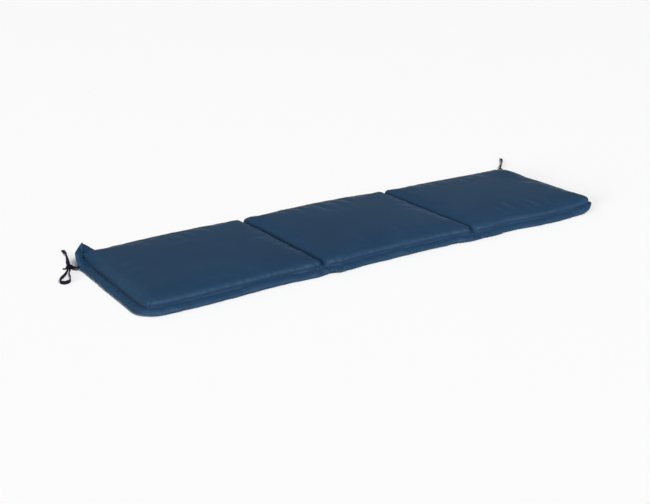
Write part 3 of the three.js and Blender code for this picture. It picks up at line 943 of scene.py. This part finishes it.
def woven_height(tree, u_socket, v_socket, pitch_u, pitch_v):
    angle_u = add_node(tree, "ShaderNodeMath", {"operation": "MULTIPLY"}, i0=u_socket, i1=math.pi / pitch_u)
    angle_v = add_node(tree, "ShaderNodeMath", {"operation": "MULTIPLY"}, i0=v_socket, i1=math.pi / pitch_v)
    round_u = add_node(tree, "ShaderNodeMath", {"operation": "SINE"}, i0=angle_u.outputs[0])
    round_v = add_node(tree, "ShaderNodeMath", {"operation": "SINE"}, i0=angle_v.outputs[0])
    sign = add_node(tree, "ShaderNodeMath", {"operation": "MULTIPLY"}, i0=round_u.outputs[0], i1=round_v.outputs[0])
    on_top = add_node(tree, "ShaderNodeMath", {"operation": "GREATER_THAN"}, i0=sign.outputs[0], i1=0.0)
    high_u = add_node(tree, "ShaderNodeMath", {"operation": "ABSOLUTE"}, i0=round_u.outputs[0])
    high_v = add_node(tree, "ShaderNodeMath", {"operation": "ABSOLUTE"}, i0=round_v.outputs[0])
    height = add_node(
        tree, "ShaderNodeMix", {"data_type": "FLOAT"},
        i0=on_top.outputs[0], i2=high_u.outputs[0], i3=high_v.outputs[0],
    )
    return height.outputs[0], on_top.outputs[0]


cover_material, tree, shader = new_material("plain_weave_polyester_navy")
uv = add_node(tree, "ShaderNodeUVMap", {"uv_map": "UVMap"})
split = add_node(tree, "ShaderNodeSeparateXYZ", i0=uv.outputs[0])
weave, on_top = woven_height(tree, split.outputs[0], split.outputs[1], THREAD_PITCH, THREAD_PITCH)
# Threads are a little thicker and paler in places, along their own length
slubs = []
for stretch in ((40, 900, 1), (900, 40, 1)):
    place = add_node(tree, "ShaderNodeMapping", Vector=uv.outputs[0], Scale=stretch)
    slubs.append(add_node(tree, "ShaderNodeTexNoise", Vector=place.outputs[0], Scale=1.0, Detail=1.0).outputs["Fac"])
slub = add_node(tree, "ShaderNodeMath", {"operation": "ADD"}, i0=slubs[0], i1=slubs[1])
# The dye and the light wear differ slowly over the cushion
coords = add_node(tree, "ShaderNodeTexCoord")
patches = add_node(tree, "ShaderNodeTexNoise", Vector=coords.outputs["Object"], Scale=9.0, Detail=3.0)
tone = add_node(tree, "ShaderNodeMath", {"operation": "MULTIPLY_ADD"}, i0=slub.outputs[0], i1=0.35, i2=0.0)
tone_all = add_node(tree, "ShaderNodeMath", {"operation": "MULTIPLY_ADD"}, i0=patches.outputs["Fac"], i1=0.5, i2=tone.outputs[0])
ramp = add_node(tree, "ShaderNodeMapRange", Value=tone_all.outputs[0], i1=0.35, i2=0.85, i3=0.0, i4=1.0)
COVER_DARK, COVER_LIGHT = "#14324d", "#1a3d5b"
colour = add_node(
    tree, "ShaderNodeMix", {"data_type": "RGBA"},
    i0=ramp.outputs[0], i6=linear(COVER_DARK), i7=linear(COVER_LIGHT),
)
bump = add_node(tree, "ShaderNodeBump", Strength=0.25, Distance=0.15 * MM, Height=weave)
tree.links.new(colour.outputs[2], shader.inputs["Base Color"])
tree.links.new(bump.outputs[0], shader.inputs["Normal"])
shader.inputs["Roughness"].default_value = 0.6
shader.inputs["Specular IOR Level"].default_value = 0.28
shader.inputs["Sheen Weight"].default_value = 0.5
shader.inputs["Sheen Roughness"].default_value = 0.2
shader.inputs["Sheen Tint"].default_value = linear("#c4d2d6")

# %% [markdown]
# ## The sewing thread
# Polyester thread of nearly the same navy, a little glossier than the cloth it is sewn in. It is
# twisted, so slanting ribs run over each stitch.

# %% Twisted thread
thread_material, tree, shader = new_material("twisted_thread_navy")
coords = add_node(tree, "ShaderNodeTexCoord")
twist = add_node(
    tree, "ShaderNodeTexWave", {"bands_direction": "DIAGONAL"}, Vector=coords.outputs["Object"], Scale=420.0
)
colour = add_node(
    tree, "ShaderNodeMix", {"data_type": "RGBA"},
    i0=twist.outputs["Fac"], i6=linear("#12304a"), i7=linear("#1e4666"),
)
tree.links.new(colour.outputs[2], shader.inputs["Base Color"])
shader.inputs["Roughness"].default_value = 0.45
stitches.data.materials.append(thread_material)

# %% [markdown]
# ## The ties' tape
# Narrow woven tape in an almost black navy, with ribs across it and a firmer edge. The ribs are
# real ones, 0.8 mm apart.

# %% Ribbed tape
tape_material, tree, shader = new_material("woven_tape_dark_navy")
uv = add_node(tree, "ShaderNodeUVMap", {"uv_map": "UVMap"})
split = add_node(tree, "ShaderNodeSeparateXYZ", i0=uv.outputs[0])
ribs, on_top = woven_height(tree, split.outputs[0], split.outputs[1], 0.8 * MM, 1.6 * MM)
colour = add_node(
    tree, "ShaderNodeMix", {"data_type": "RGBA"},
    i0=ribs, i6=linear("#080714"), i7=linear("#151130"),
)
bump = add_node(tree, "ShaderNodeBump", Strength=0.5, Distance=0.3 * MM, Height=ribs)
tree.links.new(colour.outputs[2], shader.inputs["Base Color"])
tree.links.new(bump.outputs[0], shader.inputs["Normal"])
shader.inputs["Roughness"].default_value = 0.75
shader.inputs["Specular IOR Level"].default_value = 0.12
shader.inputs["Sheen Weight"].default_value = 0.05
shader.inputs["Sheen Tint"].default_value = linear("#8f8aa8")

for piece in cloth_pieces["tape"]:
    piece.data.materials.append(tape_material)
for piece in cloth_pieces["cover"]:
    piece.data.materials.append(cover_material)

# %% [markdown]
# ## Floor and light
# A pale floor that fills the picture, and soft studio light: an even white surround, and one broad
# light in front of the cushion and above it, which makes its rounded front edge the brightest part.
# A weak one from the left keeps that end from going dark, and a low one from behind draws a pale
# line along the back. They are suns, because a sun lights the whole floor evenly.

# %% Floor
bm = bmesh.new()
bmesh.ops.create_grid(bm, x_segments=1, y_segments=1, size=20)
floor_mesh = bpy.data.meshes.new("studio_floor")
bm.to_mesh(floor_mesh)
bm.free()
floor = bpy.data.objects.new("studio_floor", floor_mesh)
bpy.context.scene.collection.objects.link(floor)
floor_material, tree, shader = new_material("matt_white_board")
shader.inputs["Base Color"].default_value = linear("#fdfdfd")
shader.inputs["Roughness"].default_value = 0.9
floor_mesh.materials.append(floor_material)

# %% Light
world = bpy.data.worlds.new("white_studio")
world.use_nodes = True
world.node_tree.nodes["Background"].inputs["Color"].default_value = (1, 1, 1, 1)
world.node_tree.nodes["Background"].inputs["Strength"].default_value = 0.16
bpy.context.scene.world = world

SUNS = [  # name, the way towards the light, strength, angle in degrees
    ("front_sun", (0.0, -1.0, 1.0), 3.2, 20),
    ("left_sun", (-1.0, -0.35, 0.24), 1.4, 20),
    ("back_sun", (-0.2, 1.0, 0.5), 0.14, 40),
]
for name, way, strength, angle in SUNS:
    sun_data = bpy.data.lights.new(name, "SUN")
    sun_data.energy = strength
    sun_data.angle = math.radians(angle)
    sun = bpy.data.objects.new(name, sun_data)
    sun.rotation_mode = "QUATERNION"
    sun.rotation_quaternion = Vector(way).to_track_quat("Z", "Y")
    bpy.context.scene.collection.objects.link(sun)
bpy.context.scene.view_settings.view_transform = "Standard"
